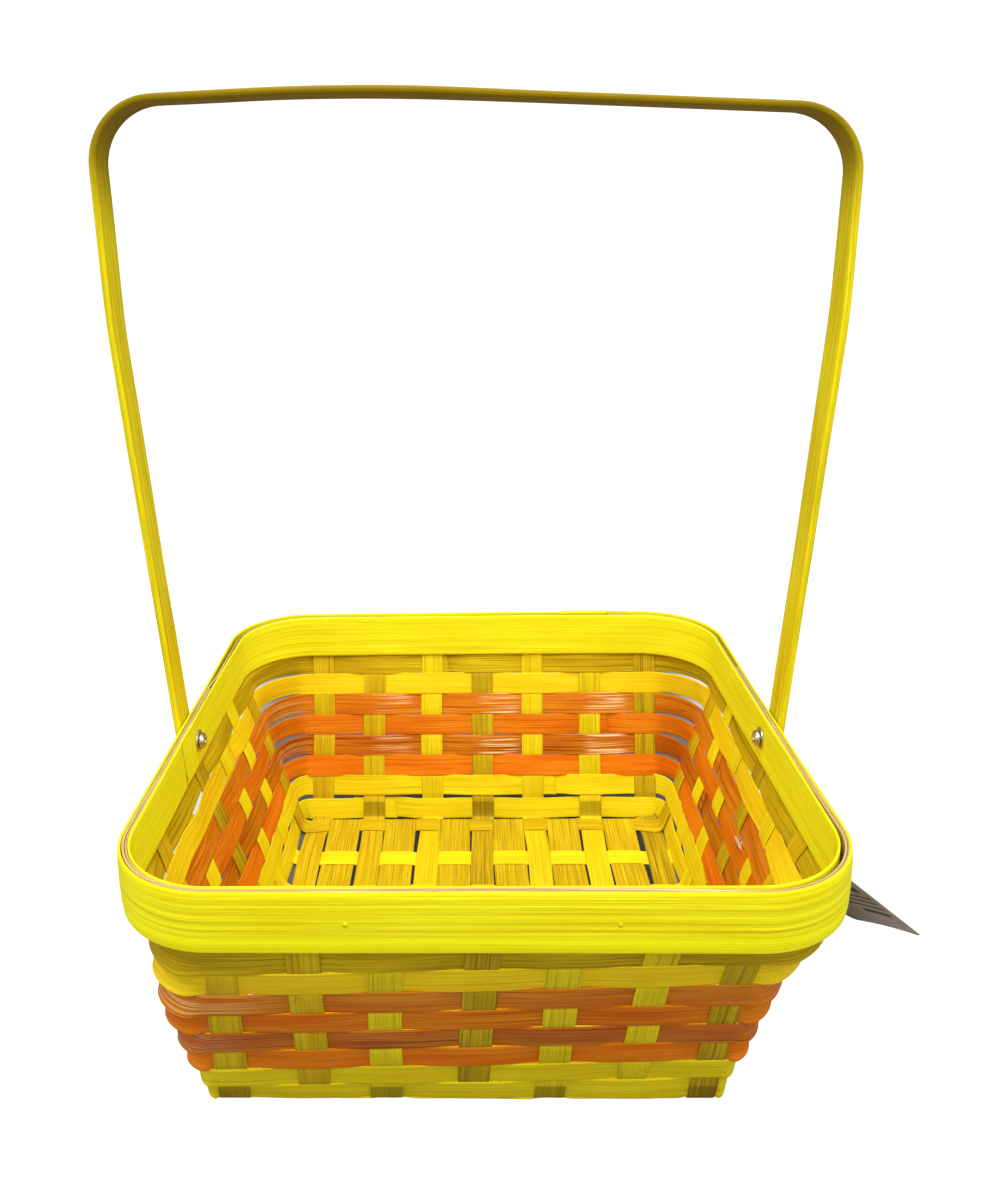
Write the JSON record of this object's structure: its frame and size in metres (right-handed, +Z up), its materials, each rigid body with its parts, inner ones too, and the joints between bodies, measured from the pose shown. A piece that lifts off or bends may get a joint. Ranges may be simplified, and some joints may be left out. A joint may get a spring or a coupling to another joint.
{
  "type": "easter basket",
  "caption": "Square splint-woven basket with rounded corners, a banded rim and a tall flat strip handle that swings on two rivets.",
  "frame": {"origin": "centre of the underside of the base, on the surface the basket stands on", "axes": "+X to the right towards one handle rivet, +Y towards the back wall, +Z up"},
  "size_m": [0.3155, 0.2408, 0.3446],
  "materials": {
    "yellow_strip": "dyed yellow splint, fine straight grain, low sheen",
    "orange_strip": "dyed orange splint, fine straight grain, low sheen",
    "glossy_orange_strip": "dyed outer-skin splint, darker, ribbed and glossy",
    "rim_band": "dyed yellow band, ribbed along its length, satin",
    "natural_strip": "undyed natural strip, matte",
    "handle_strip": "dyed yellow bent strip, straight grain, satin",
    "rivet_metal": "plated, slightly dulled",
    "brad_metal": "small pin heads, dulled",
    "tag_card": "printed card, grey-brown face, white core and back",
    "clear_plastic": "translucent white moulded plastic"
  },
  "bodies": {
    "basket": {"stake_front_back_1": "yellow_strip", "stake_front_back_2": "yellow_strip", "stake_front_back_3": "yellow_strip", "stake_front_back_4": "yellow_strip", "stake_front_back_5": "yellow_strip", "stake_front_back_6": "yellow_strip", "stake_front_back_7": "yellow_strip", "stake_left_right_1": "yellow_strip", "stake_left_right_2": "yellow_strip", "stake_left_right_3": "yellow_strip", "stake_left_right_4": "yellow_strip", "stake_left_right_5": "yellow_strip", "stake_left_right_6": "yellow_strip", "stake_left_right_7": "yellow_strip", "base_filler_1": "yellow_strip", "base_filler_2": "yellow_strip", "base_filler_3": "yellow_strip", "base_filler_4": "yellow_strip", "base_filler_5": "yellow_strip", "base_filler_6": "yellow_strip", "weaver_row_1": "yellow_strip", "weaver_row_2": "yellow_strip", "weaver_row_3": "orange_strip", "weaver_row_4": "orange_strip", "weaver_row_5": "glossy_orange_strip", "weaver_row_6": "orange_strip", "weaver_row_7": "yellow_strip", "weaver_row_8": "yellow_strip", "rim_outer_band": "rim_band", "rim_inner_band": "rim_band", "rim_filler": "natural_strip", "rim_brads": "brad_metal", "rivet_left": "rivet_metal", "rivet_right": "rivet_metal", "rivet_washer_left": "rivet_metal", "rivet_washer_right": "rivet_metal", "tag_loop": "clear_plastic"},
    "handle": {"handle": "handle_strip"},
    "tag": {"hang_tag": "tag_card"}
  },
  "joints": [
    {"name": "handle_swing", "type": "hinge", "parent": "basket", "child": "handle", "pos_m": [0, 0, 0.0927], "axis": [1, 0, 0], "range_deg": [-105, 105]},
    {"name": "tag_swing", "type": "hinge", "parent": "basket", "child": "tag", "pos_m": [0.11687, -0.00927, 0.05543], "axis": [-0.364, 0.8392, -0.404], "range_deg": [0, 40]}
  ]
}
